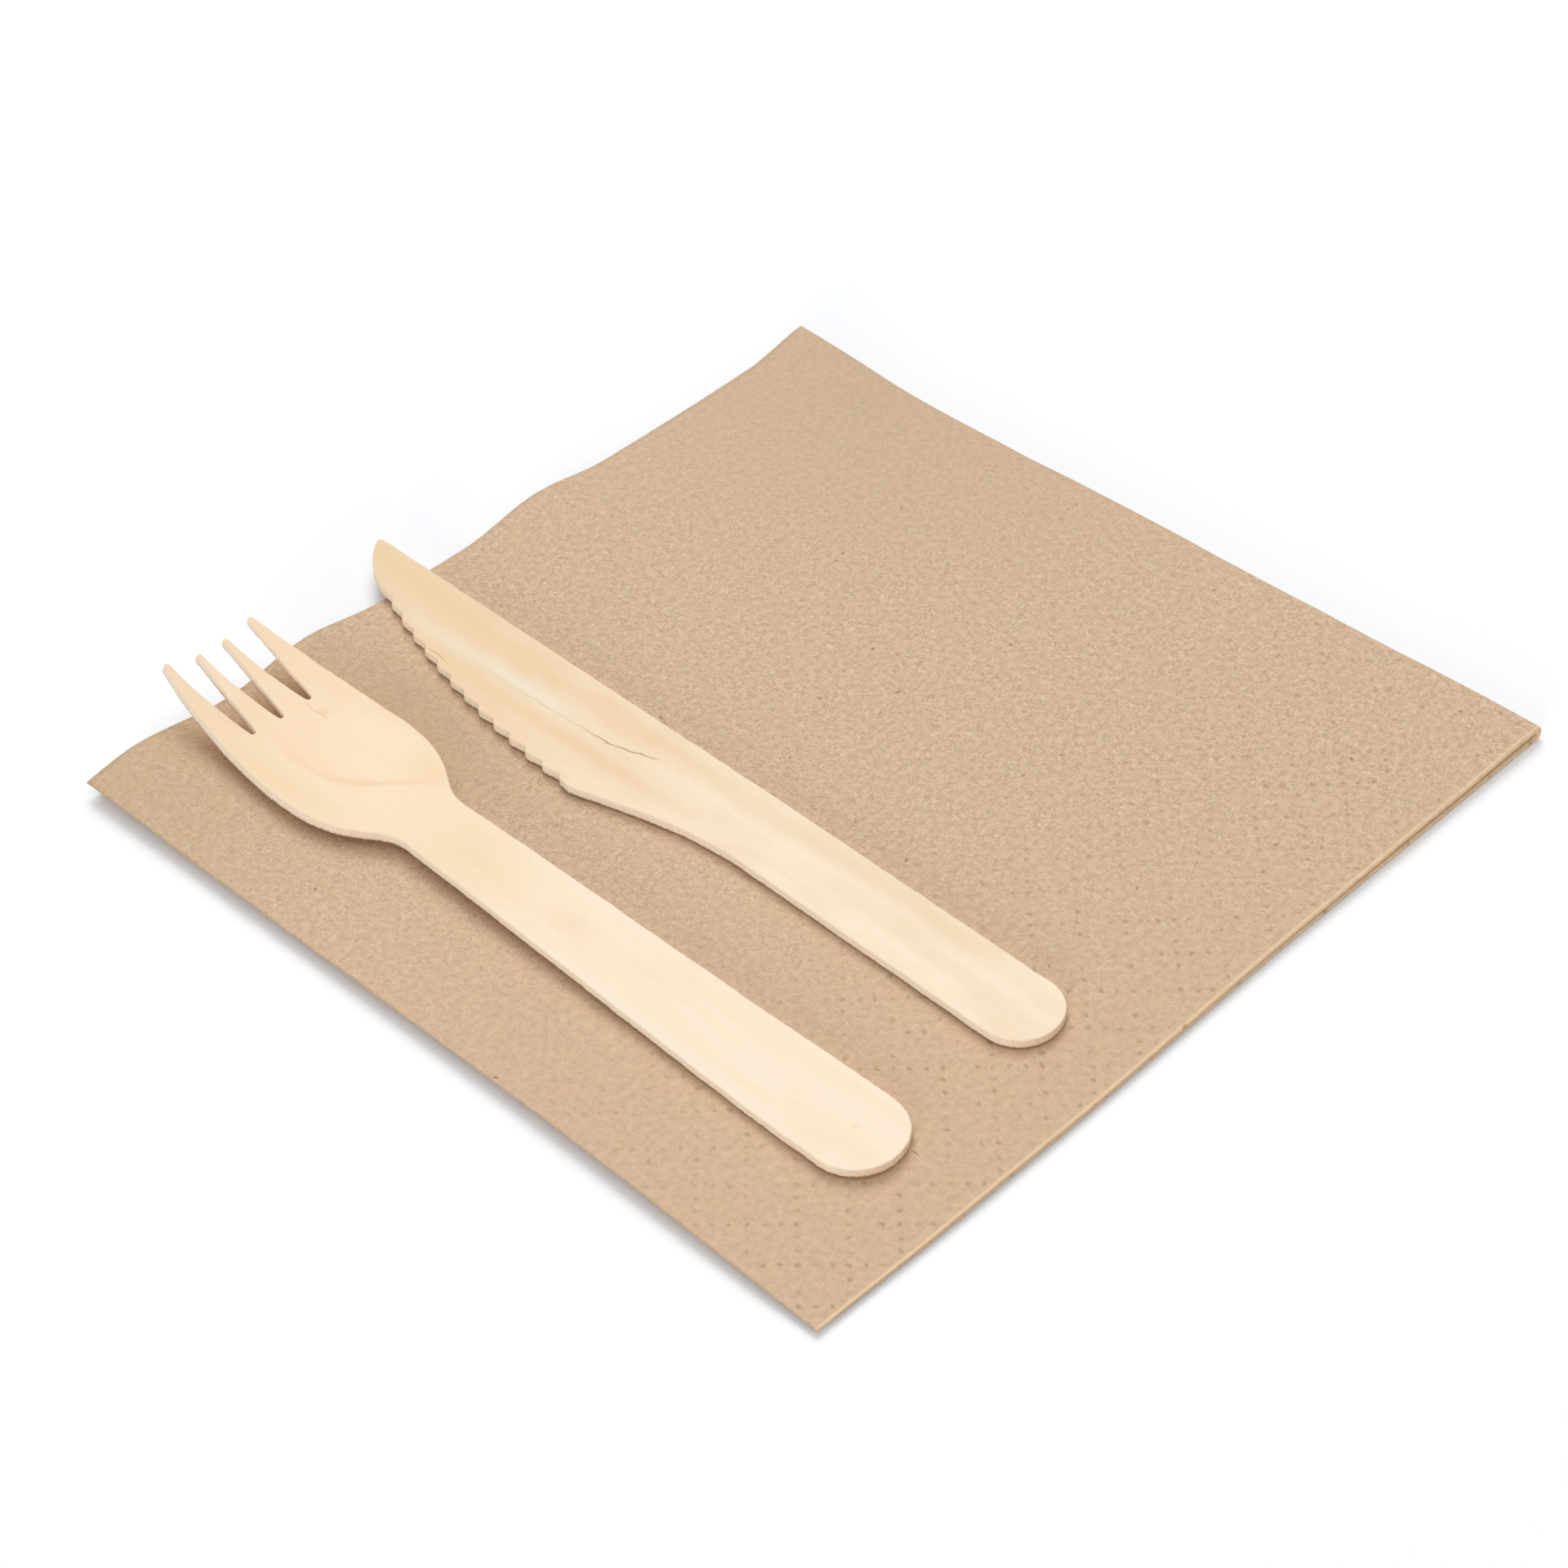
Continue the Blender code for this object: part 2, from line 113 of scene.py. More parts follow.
def tissue_sheet():
    """The folded sheet as one surface, with its flat size in a UV map, in metres."""
    side, bend = napkin_side / 2, (tissue_thickness + layer_air) / 2
    low, high = tissue_thickness / 2, tissue_thickness / 2 + 2 * bend
    fold_y, fold_end = -side + tissue_thickness / 2 + bend, 0.016
    section = [(y, low) for y in stops(side, close_line, dot_step, dot_row)[:-1]]
    section += [(y, low) for y in stops(close_line, fold_y, dot_step / 2, dot_row)[:-1]]
    for cell in range(9):
        turn = math.radians(-90 - 180 * cell / 8)
        section.append((fold_y + bend * math.cos(turn), low + bend + bend * math.sin(turn)))
    section += [(y, high) for y in stops(fold_y, fold_y + fold_end, bend_cell, 0.0)[1:]]
    section += [(y, high) for y in stops(fold_y + fold_end, side - back_edge_step, coarse_cell, 0.0)[1:]]

    fold_x = (napkin_side - napkin_height) / 2
    stations = [(x, -90.0) for x in stops(-side, fold_x, coarse_cell, 0.0)[:-1]]
    stations += [(fold_x, -90.0 + 180.0 * cell / 10) for cell in range(11)]
    stations += [(x, 90.0) for x in stops(fold_x, -side, dot_step / 2, dot_column)[1:]]

    centre = napkin_height / 2
    sheet = bmesh.new()
    flat = sheet.loops.layers.uv.new("flat")
    dotted = sheet.verts.layers.float.new("dotted")
    folded = sheet.verts.layers.float.new("folded")
    thick = sheet.verts.layers.deform.verify()
    rows = []
    for x, turn in stations:
        along, up = math.cos(math.radians(turn)), math.sin(math.radians(turn))
        row = []
        for y, height in section:
            reach = centre - height
            vert = sheet.verts.new(at_rest(x + reach * along, y, centre + reach * up))
            top_layer = turn == 90.0 and height == low
            vert[dotted] = (1.0 - 0.6 * ease(-0.070, 0.0, y)) if top_layer else 0.0
            vert[folded] = 1.0 if y <= fold_y else 0.0
            vert[thick][0] = min(1.0, 2.0 * (1.0 - pressed_flat(x + reach * along, y)))
            row.append(vert)
        rows.append(row)

    across = lengths([(x + centre * math.cos(math.radians(turn)), centre * math.sin(math.radians(turn)))
                      for x, turn in stations])
    deep = lengths(section)
    across_shift, deep_shift = across[-1] - (side + dot_column), side - dot_row
    for i in range(len(rows) - 1):
        for j in range(len(section) - 1):
            corners = ((i, j), (i + 1, j), (i + 1, j + 1), (i, j + 1))
            face = sheet.faces.new([rows[a][b] for a, b in corners])
            for loop, (a, b) in zip(face.loops, corners):
                loop[flat].uv = (across_shift - across[a], deep_shift - deep[b])
            face.smooth = True
    mesh = bpy.data.meshes.new("napkin_tissue")
    sheet.to_mesh(mesh)
    sheet.free()
    return mesh


def put(tree, kind, inputs=(), **settings):
    """Add a node, set its options, and link its inputs or give them values: a list goes by the
    order of the sockets, a dictionary by their names, and a node stands for its first output."""
    node = tree.nodes.new(kind)
    for name, value in settings.items():
        setattr(node, name, value)
    for key, value in inputs.items() if isinstance(inputs, dict) else enumerate(inputs):
        if isinstance(value, bpy.types.Node):
            value = value.outputs[0]
        if isinstance(value, bpy.types.NodeSocket):
            tree.links.new(value, node.inputs[key])
        else:
            node.inputs[key].default_value = value
    return node


def pressed_dots(tree, flat_place, middle, edge, weakest, firm):
    """How firmly a dot is pressed in at a place: up to 1 in its middle, and 0 from its edge on. The
    dots stand in crossed rows, one line in three each way, on a lattice turned by 45 degrees."""
    turned = put(tree, "ShaderNodeVectorRotate", {"Vector": flat_place, "Angle": math.radians(45)},
                 rotation_type="Z_AXIS")
    counted = put(tree, "ShaderNodeVectorMath", [turned, (dot_square, dot_square, 1.0)], operation="DIVIDE")
    shifted = put(tree, "ShaderNodeVectorMath", [counted, (301.5, 302.5, 0.5)], operation="ADD")
    inside = put(tree, "ShaderNodeVectorMath", [shifted], operation="FRACTION")
    aside = put(tree, "ShaderNodeVectorMath", [inside, (0.5, 0.5, 0.5)], operation="SUBTRACT")
    level = put(tree, "ShaderNodeVectorMath", [aside, (1.0, 1.0, 0.0)], operation="MULTIPLY")
    distance = put(tree, "ShaderNodeVectorMath", [level], operation="LENGTH").outputs["Value"]
    metres = put(tree, "ShaderNodeMath", [distance, dot_square], operation="MULTIPLY")
    pressed = put(tree, "ShaderNodeMapRange", [metres, middle, edge, 1.0, 0.0],
                  interpolation_type="SMOOTHSTEP")
    number = put(tree, "ShaderNodeVectorMath", [shifted], operation="FLOOR")
    third = put(tree, "ShaderNodeVectorMath", [number, (3.0, 3.0, 3.0)], operation="MODULO")
    parts = put(tree, "ShaderNodeSeparateXYZ", [third]).outputs
    least = put(tree, "ShaderNodeMath", [parts[0], parts[1]], operation="MINIMUM")
    on_row = put(tree, "ShaderNodeMath", [least, 0.5], operation="LESS_THAN")
    uneven = put(tree, "ShaderNodeTexWhiteNoise", [number], noise_dimensions="3D")
    uneven = put(tree, "ShaderNodeMapRange", [uneven, 0.0, 1.0, weakest, 1.0])
    for factor in (on_row, uneven, firm):
        pressed = put(tree, "ShaderNodeMath", [pressed, factor], operation="MULTIPLY")
    return pressed


def step_tree(name, gives, takes, sizes, finish=None):
    """A node tree for one step of the making, and its inputs: what it takes, with its kind, its
    sizes, and the material that it leaves the piece in."""
    tree = bpy.data.node_groups.new(name, "GeometryNodeTree")
    tree.interface.new_socket(gives[0], in_out="OUTPUT", socket_type="NodeSocket" + gives[1])
    taken = [takes] + [(size, "Float") for size in sizes] + ([(finish, "Material")] if finish else [])
    for label, kind in taken:
        tree.interface.new_socket(label, in_out="INPUT", socket_type="NodeSocket" + kind)
    return tree, put(tree, "NodeGroupInput").outputs


def ends_in(tree, piece, finish):
    """The step's tree, closed with the piece's real mesh in its material."""
    real = put(tree, "GeometryNodeRealizeInstances", {"Geometry": piece})
    coloured = put(tree, "GeometryNodeSetMaterial", {"Geometry": real, "Material": finish})
    put(tree, "NodeGroupOutput", [coloured])
    return tree


def emboss_tree():
    """Presses the dots into the sheet, and lets the whole stack cockle a little."""
    tree, given = step_tree("Emboss tissue", ("Geometry", "Geometry"), ("Sheet", "Geometry"), (
        "Dot radius", "Dot depth", "Cockle height", "Cockle size", "Stack height"), "Tissue")
    flat_place = put(tree, "GeometryNodeInputNamedAttribute", {"Name": "flat"}, data_type="FLOAT_VECTOR")
    dotted = put(tree, "GeometryNodeInputNamedAttribute", {"Name": "dotted"}, data_type="FLOAT")
    inward = pressed_dots(tree, flat_place, 0.0, given["Dot radius"], 0.45, dotted)
    for factor in (given["Dot depth"], -1.0):
        inward = put(tree, "ShaderNodeMath", [inward, factor], operation="MULTIPLY")
    normal = put(tree, "GeometryNodeInputNormal")
    push = put(tree, "ShaderNodeVectorMath", {0: normal, "Scale": inward}, operation="SCALE")
    embossed = put(tree, "GeometryNodeSetPosition", {"Geometry": given["Sheet"], "Offset": push})

    place = put(tree, "GeometryNodeInputPosition")
    parts = put(tree, "ShaderNodeSeparateXYZ", [place]).outputs
    over = put(tree, "ShaderNodeCombineXYZ", [parts[0], parts[1]])
    scale = put(tree, "ShaderNodeMath", [1.0, given["Cockle size"]], operation="DIVIDE")
    waves = put(tree, "ShaderNodeTexNoise", {"Vector": over, "Scale": scale, "Detail": 2.0,
                                             "Roughness": 0.5})
    lift = put(tree, "ShaderNodeMapRange", [waves, 0.3, 0.7, -0.6, 0.4])
    share = put(tree, "ShaderNodeMath", [parts[2], given["Stack height"]], operation="DIVIDE")
    for factor in (share, given["Cockle height"]):
        lift = put(tree, "ShaderNodeMath", [lift, factor], operation="MULTIPLY")
    rise = put(tree, "ShaderNodeCombineXYZ", [0.0, 0.0, lift])
    settled = put(tree, "GeometryNodeSetPosition", {"Geometry": embossed, "Offset": rise})
    return ends_in(tree, settled, given["Tissue"])


def colour(code):
    """A hex sRGB colour as the linear one that a shader takes."""
    parts = [int(code[place:place + 2], 16) / 255 for place in (1, 3, 5)]
    linear = [part / 12.92 if part <= 0.04045 else ((part + 0.055) / 1.055) ** 2.4 for part in parts]
    return (*linear, 1.0)


def dry_material(name, roughness, ior):
    """A new material with hardly any gloss, its node tree and its shader."""
    material = bpy.data.materials.new(name)
    material.use_nodes = True
    shader = material.node_tree.nodes["Principled BSDF"]
    shader.inputs["Roughness"].default_value = roughness
    shader.inputs["IOR"].default_value = ior
    shader.inputs["Specular IOR Level"].default_value = 0.25
    return material, material.node_tree, shader


def blotch(tree, place, centre, size, turn=0.0):
    """A soft oval, 1 at its centre and 0 at its edge; sizes in millimetres, turn in degrees."""
    oval = put(tree, "ShaderNodeMapping", [place, (*centre, 0.0), (0.0, 0.0, math.radians(turn)),
                                           (size[0] / 2, size[1] / 2, 1000.0)], vector_type="TEXTURE")
    distance = put(tree, "ShaderNodeVectorMath", [oval], operation="LENGTH").outputs["Value"]
    return put(tree, "ShaderNodeMapRange", [distance, 0.0, 1.0, 1.0, 0.0],
               interpolation_type="SMOOTHSTEP")


def stained(tree, under, mask, strength, code):
    """The colour under a mark, turned towards the mark's own colour."""
    share = put(tree, "ShaderNodeMath", [mask, strength], operation="MULTIPLY")
    return put(tree, "ShaderNodeMix", {"Factor": share, 6: under, 7: colour(code)},
               data_type="RGBA").outputs[2]


def laid_fibres(tree, place, turn, length, width):
    """Strokes that lie one way, pale ones and dark ones; turn in degrees, sizes in millimetres."""
    lain = put(tree, "ShaderNodeMapping", [place, (turn * 3.1, turn * 1.7, 0.0),
                                           (0.0, 0.0, math.radians(turn)), (length, width, 1.0)],
               vector_type="TEXTURE")
    strokes = put(tree, "ShaderNodeTexNoise", {"Vector": lain, "Scale": 1.0, "Detail": 1.0,
                                               "Roughness": 0.4}, noise_dimensions="2D")
    return [put(tree, "ShaderNodeMapRange", [strokes, none, full])
            for none, full in ((0.58, 0.82), (0.40, 0.18))]


def shives(tree, place, spacing, length, width):
    """Rare bits of dark fibre, one at most in each cell of a scattered pattern."""
    cells = put(tree, "ShaderNodeTexVoronoi", {"Vector": place, "Scale": 1.0 / spacing},
                voronoi_dimensions="2D").outputs
    chance = put(tree, "ShaderNodeSeparateColor", [cells["Color"]]).outputs
    local = put(tree, "ShaderNodeVectorMath", [place, cells["Position"]], operation="SUBTRACT")
    angle = put(tree, "ShaderNodeMath", [chance[0], 2 * math.pi], operation="MULTIPLY")
    turned = put(tree, "ShaderNodeVectorRotate", {"Vector": local, "Angle": angle},
                 rotation_type="Z_AXIS")
    drawn_in = put(tree, "ShaderNodeVectorMath", [turned, (1 / length, 1 / width, 0.0)],
                   operation="MULTIPLY")
    distance = put(tree, "ShaderNodeVectorMath", [drawn_in], operation="LENGTH").outputs["Value"]
    size = put(tree, "ShaderNodeMapRange", [chance[1], 0.0, 1.0, 0.2, 0.6])
    body = put(tree, "ShaderNodeMapRange", [distance, 0.0, size, 1.0, 0.0])
    there = put(tree, "ShaderNodeMapRange", [chance[2], 0.55, 0.85])
    return put(tree, "ShaderNodeMath", [body, there], operation="MULTIPLY")


# Unbleached kraft tissue: recycled brown pulp, creped and dry. Seen close it is a mat of short
# light and dark fibres with a few shives, matte all over, and darker where a dot is pressed in:
# partly the pressed fibres' own tone, partly painted shade in the dot's hollow.
# A real fibre is about 0.03 mm wide, too fine to show, so they are drawn about 0.15 mm wide.

tissue, tree, shader = dry_material("Unbleached kraft tissue", 0.95, 1.45)
flat_place = put(tree, "ShaderNodeUVMap", uv_map="flat")
in_mm = put(tree, "ShaderNodeVectorMath", {0: flat_place, "Scale": 1000.0}, operation="SCALE")
wander, clouds, pulp, grit, dense, pushed = (
    put(tree, "ShaderNodeTexNoise", {"Vector": in_mm, "Scale": scale, "Detail": detail,
                                     "Roughness": roughness}, noise_dimensions="2D")
    for scale, detail, roughness in ((0.4, 1.0, 0.5), (0.16, 4.0, 0.65), (0.8, 1.5, 0.75),
                                     (3.2, 1.0, 0.6), (0.25, 2.0, 0.5), (0.7, 1.5, 0.6)))
tint = put(tree, "ShaderNodeMapRange", [clouds, 0.30, 0.70])
paper = stained(tree, colour("#D4B998"), tint, 1.0, "#D8B79B")
parts = put(tree, "ShaderNodeSeparateXYZ", [in_mm]).outputs
from_corner = put(tree, "ShaderNodeMath", [parts[0], parts[1]], operation="ADD")
front = put(tree, "ShaderNodeMapRange", [from_corner, -115.0, 0.0, 0.22, 1.1],
            interpolation_type="SMOOTHSTEP")
back = put(tree, "ShaderNodeMapRange", [from_corner, 50.0, 140.0, 1.1, 0.4])
matted = put(tree, "ShaderNodeMath", [front, back], operation="MINIMUM")
mottle = put(tree, "ShaderNodeMapRange", [pulp, 0.3, 0.7, -0.105, 0.095])
calmer = put(tree, "ShaderNodeMapRange", [matted, 0.0, 1.0, 0.6, 1.0])
mottle = put(tree, "ShaderNodeMath", [mottle, calmer, 1.0], operation="MULTIPLY_ADD")
grit = put(tree, "ShaderNodeMapRange", [grit, 0.3, 0.7, -0.035, 0.03])
grit = put(tree, "ShaderNodeMath", [grit, matted], operation="MULTIPLY")
mottle = put(tree, "ShaderNodeMath", [mottle, grit], operation="ADD")
paper = put(tree, "ShaderNodeVectorMath", {0: paper, "Scale": mottle}, operation="SCALE")

astray = put(tree, "ShaderNodeVectorMath", [wander.outputs["Color"], (1.4, 1.4, 0.0), in_mm],
             operation="MULTIPLY_ADD")
pale_mat = dark_mat = 0.0
for turn, length, width in ((14.0, 1.4, 0.21), (61.0, 1.1, 0.25), (103.0, 1.7, 0.22), (152.0, 1.0, 0.28)):
    pale, dark = laid_fibres(tree, astray, turn, length, width)
    pale_mat = put(tree, "ShaderNodeMath", [pale_mat, pale], operation="ADD")
    dark_mat = put(tree, "ShaderNodeMath", [dark_mat, dark], operation="ADD")
dense = put(tree, "ShaderNodeMapRange", [dense, 0.35, 0.65, 0.35, 1.1])
dense = put(tree, "ShaderNodeMath", [dense, matted], operation="MULTIPLY")
pale_mat, dark_mat = (put(tree, "ShaderNodeMath", [mat, dense], operation="MULTIPLY", use_clamp=True)
                      for mat in (pale_mat, dark_mat))
# Painted light: the folded front is made lighter, a painted glow for the light that shines through the thin
# tissue at its rim.
fold_painted_glow = put(tree, "ShaderNodeAttribute", attribute_name="folded").outputs["Fac"]
# Three wide blotches darken the paper: towards corner A, partly the paper's olive tone and partly painted
# shade where the light falls off; round the fork's head, between fork and knife, painted shade with an olive
# tint; and a darker patch towards the back right.
for mask, strength, code in ((pale_mat, 0.52, "#F0DCC2"), (dark_mat, 0.40, "#A4815C"),
                             (shives(tree, in_mm, 13.0, 1.3, 0.7), 0.8, "#6E5338"),
                             (blotch(tree, in_mm, (-88.0, 78.0), (130.0, 110.0)), 0.40, "#C4AA87"),
                             (blotch(tree, in_mm, (-38.0, 53.0), (42.0, 76.0)), 0.50, "#C6AB88"),
                             (blotch(tree, in_mm, (80.0, 60.0), (120.0, 190.0)), 0.45, "#C8AE91"),
                             (fold_painted_glow, 0.50, "#FFE0B4")):
    paper = stained(tree, paper, mask, strength, code)

# Marks of this one sheet: a few larger shives, and a crease as fine as a hair.
for centre, size, turn, strength in (
        ((41.1, 31.2), (1.1, 0.8), 20.0, 0.75), ((-2.3, 1.8), (0.7, 0.6), 0.0, 1.0),
        ((74.7, 10.3), (0.9, 0.5), 40.0, 0.6), ((-28.3, -26.7), (1.5, 0.5), 60.0, 0.5),
        ((-9.8, -60.7), (1.3, 0.4), 80.0, 0.6), ((-6.3, -16.6), (4.6, 0.3), -20.0, 0.5),
        ((-2.3, -17.6), (4.4, 0.3), -8.0, 0.5), ((-50.5, -71.1), (0.5, 2.4), 0.0, 0.6)):
    paper = stained(tree, paper, blotch(tree, in_mm, centre, size, turn), strength, "#5F472F")

pushed = put(tree, "ShaderNodeVectorMath", [pushed.outputs["Color"], (0.5, 0.5, 0.5)],
             operation="SUBTRACT")
pushed = put(tree, "ShaderNodeVectorMath", [pushed, (0.0010, 0.0010, 0.0), flat_place],
             operation="MULTIPLY_ADD")
firm = put(tree, "ShaderNodeMapRange", [parts[1], -66.0, 0.0, 1.0, 0.1], interpolation_type="SMOOTHSTEP")
dot = pressed_dots(tree, pushed, 0.03 * dot_square, 0.27 * dot_square, 0.1, firm)
# Painted shade: each pressed-in dot is darkened, partly for the pressed fibres' own tone and partly as the
# shade in its hollow.
paper = stained(tree, paper, dot, 0.68, "#A98763")
tree.links.new(paper, shader.inputs["Base Color"])
relief = pulp
for raised, height in ((pale_mat, 0.5), (grit, 4.0), (dot, -1.2)):
    relief = put(tree, "ShaderNodeMath", [raised, height, relief], operation="MULTIPLY_ADD")
bump = put(tree, "ShaderNodeBump", {"Height": relief, "Strength": 0.5, "Distance": 0.00012})
tree.links.new(bump.outputs[0], shader.inputs["Normal"])


def added(name, data):
    """A new object in the scene that shows this mesh, lamp or camera."""
    thing = bpy.data.objects.new(name, data)
    bpy.context.scene.collection.objects.link(thing)
    return thing


def work_on(thing, tree, settings):
    """Give the piece one step of its making as a modifier, with the step's sizes and material."""
    step = thing.modifiers.new(tree.name, "NODES")
    step.node_group = tree
    for socket in tree.interface.items_tree:
        if socket.name in settings:
            step[socket.identifier] = settings[socket.name]


def finish_mesh(thing):
    """Turn the piece, as its modifiers leave it, into a plain mesh."""
    shown = thing.evaluated_get(bpy.context.evaluated_depsgraph_get())
    mesh = bpy.data.meshes.new_from_object(shown)
    mesh.name = thing.name
    thing.modifiers.clear()
    thing.data = mesh


napkin = added("napkin_sheet", tissue_sheet())
work_on(napkin, emboss_tree(), {
    "Dot radius": dot_radius, "Dot depth": dot_depth, "Cockle height": cockle_height,
    "Cockle size": cockle_size, "Stack height": napkin_height, "Tissue": tissue})
thickness = napkin.modifiers.new("Tissue thickness", "SOLIDIFY")
thickness.thickness = tissue_thickness
thickness.offset = 0.0
thickness.vertex_group = napkin.vertex_groups.new(name="full thickness").name
finish_mesh(napkin)
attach(napkin, "root")
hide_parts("napkin")


# Fork: one strip of birch veneer 1.7 mm thick, stamped to its outline with four tines, tumbled so
# that its edges lose their bite, and hot-pressed: the neck lifts a little and the head is cupped
# and turned up. It rests on the napkin, on the end of its handle and the bottom of its bowl.

veneer_thickness = 0.0017
upper_round, lower_round = 0.00025, 0.00030
wave, wave_length, nick, nick_length = 0.00010, 0.0045, 0.00008, 0.0013     # of the worn punch
cutlery_base = napkin_height + 0.0003
fork_place = Vector((-0.05414, -0.0708, cutlery_base))
fork_turn = math.radians(-0.79)
handle_flat, neck_place, head_place, bowl_bottom, fork_length = 0.020, 0.1015, 0.1240, 0.1250, 0.1582
handle_half, neck_half, head_half = 0.0081, 0.0062, 0.0130
neck_lift, tip_lift, cup_radius = 0.0015, 0.0066, 0.060
tine_length, tine_tip, slot_root = 0.0189, 0.0011, 0.0011
tip_pitch, inner_pitch, root_pitch, slot_belly = 0.0058, 0.0055, 0.0059, 0.0003
tine_short = (0.0, 0.0010, 0.0011, 0.0006)      # how far each tine, left to right, stops short


def bent(start, start_pull, end_pull, end, cells):
    """Points along a curve drawn by its two pulls, without the last one."""
    knots = [Vector((*point, 0.0)) for point in (start, start_pull, end_pull, end)]
    return [(p.x, p.y) for p in interpolate_bezier(*knots, cells + 1)][:-1]


def round_end(centre, radius, start_angle, end_angle, cells):
    """Points along an arc, both ends included; the angles are in degrees."""
    angles = [math.radians(start_angle + (end_angle - start_angle) * cell / cells)
              for cell in range(cells + 1)]
    return [(centre[0] + radius * math.cos(a), centre[1] + radius * math.sin(a)) for a in angles]


def slot_side(root_x, tip_x, belly):
    """One side of a slot, from its root up to the tip of the tine."""
    start = Vector((root_x, fork_length - tine_length + slot_root / 2))
    end = Vector((tip_x, fork_length - tine_tip / 2))
    bow = Vector((belly, 0.0))
    return bent(start, start.lerp(end, 1 / 3) + bow, start.lerp(end, 2 / 3) + bow, end, 12)


def fork_outline():
    """Round the fork, from the end of its handle up the right side and back down the left."""
    tip_y, root_y = fork_length - tine_tip / 2, fork_length - tine_length + slot_root / 2
    inner_tip, outer_tip = inner_pitch / 2, inner_pitch / 2 + tip_pitch
    tip, root, run = tine_tip / 2, slot_root / 2, (tip_y - head_place) / 4
    right = round_end((0.0, handle_half), handle_half, -90, 0, 20)
    right.append((handle_half, handle_flat))
    right += bent((neck_half, neck_place), (neck_half, neck_place + 0.0065),
                  (head_half, head_place - 0.0150), (head_half, head_place), 32)
    right += bent((head_half, head_place), (head_half, head_place + run),
                  (outer_tip + tip + run / 4, tip_y - run), (outer_tip + tip, tip_y), 20)
    right += round_end((outer_tip, tip_y), tip, 0, 180, 8)[:-1]
    right += (slot_side(root_pitch + root, outer_tip - tip, slot_belly) + [(outer_tip - tip, tip_y)])[::-1]
    right += round_end((root_pitch, root_y), root, 0, -180, 10)[1:-1]
    right += slot_side(root_pitch - root, inner_tip + tip, -slot_belly)
    right += round_end((inner_tip, tip_y), tip, 0, 180, 8)[:-1]
    right += (slot_side(root, inner_tip - tip, slot_belly) + [(inner_tip - tip, tip_y)])[::-1]
    right += round_end((0.0, root_y), root, 0, -90, 5)[1:]
    return right + [(-x, y) for x, y in right[-2:0:-1]]


def trimmed(outline):
    """The fork's outline with each tine drawn back to its own length."""
    points = []
    for x, y in outline:
        tine = min(range(4), key=lambda count: abs(x - (count - 1.5) * tip_pitch))
        points.append((x, y - tine_short[tine] * ease(fork_length - tine_length, fork_length, y)))
    return points


def ragged(outline, seed):
    """The outline as a worn punch cuts it: points at most 0.9 mm apart, a few hundredths aside."""
    points = []
    for start, end in zip(outline, outline[1:] + outline[:1]):
        start, end = Vector((*start, 0.0)), Vector((*end, 0.0))
        length = (end - start).length
        outward = Vector((end.y - start.y, start.x - end.x, 0.0)).normalized()
        for cell in range(cells := max(1, math.ceil(length / 0.0009))):
            place = start.lerp(end, cell / cells)
            shift = wave * noise.noise(place / wave_length + Vector((0.0, 0.0, seed)))
            shift += nick * noise.noise(place / nick_length + Vector((0.0, 0.0, seed + 7.0)))
            place += outward * shift * min(1.0, length / 0.0008)
            points.append((place.x, place.y))
    return points


def stamped_veneer(outline, cuts_along=(), cuts_across=()):
    """A flat plate with round rims, scored straight across at each cut so that it can bend there."""
    plate = bmesh.new()
    blank = plate.faces.new([plate.verts.new((x, y, 0.0)) for x, y in outline])
    raised = bmesh.ops.extrude_face_region(plate, geom=[blank])["geom"]
    lifted = [part for part in raised if isinstance(part, bmesh.types.BMVert)]
    bmesh.ops.translate(plate, verts=lifted, vec=(0.0, 0.0, veneer_thickness))
    bmesh.ops.recalc_face_normals(plate, faces=plate.faces)
    for upper, width in ((True, upper_round), (False, lower_round)):
        rim = [edge for edge in plate.edges
               if all((vert.co.z > veneer_thickness / 2) == upper for vert in edge.verts)]
        bmesh.ops.bevel(plate, geom=rim, offset=width, segments=4, profile=0.5, affect="EDGES")
    for direction, places in ((Vector((0, 1, 0)), cuts_along), (Vector((1, 0, 0)), cuts_across)):
        for place in places:
            bmesh.ops.bisect_plane(plate, geom=plate.verts[:] + plate.edges[:] + plate.faces[:],
                                   dist=1e-6, plane_co=direction * place, plane_no=direction)
    if cuts_along:
        bmesh.ops.triangulate(plate, faces=[face for face in plate.faces if len(face.verts) > 4])
    depth = plate.verts.layers.float.new("depth in veneer")
    for vert in plate.verts:
        vert[depth] = 1.0 - vert.co.z / veneer_thickness
    for face in plate.faces:
        face.smooth = True
    mesh = bpy.data.meshes.new("stamped_veneer")
    plate.to_mesh(mesh)
    plate.free()
    return mesh


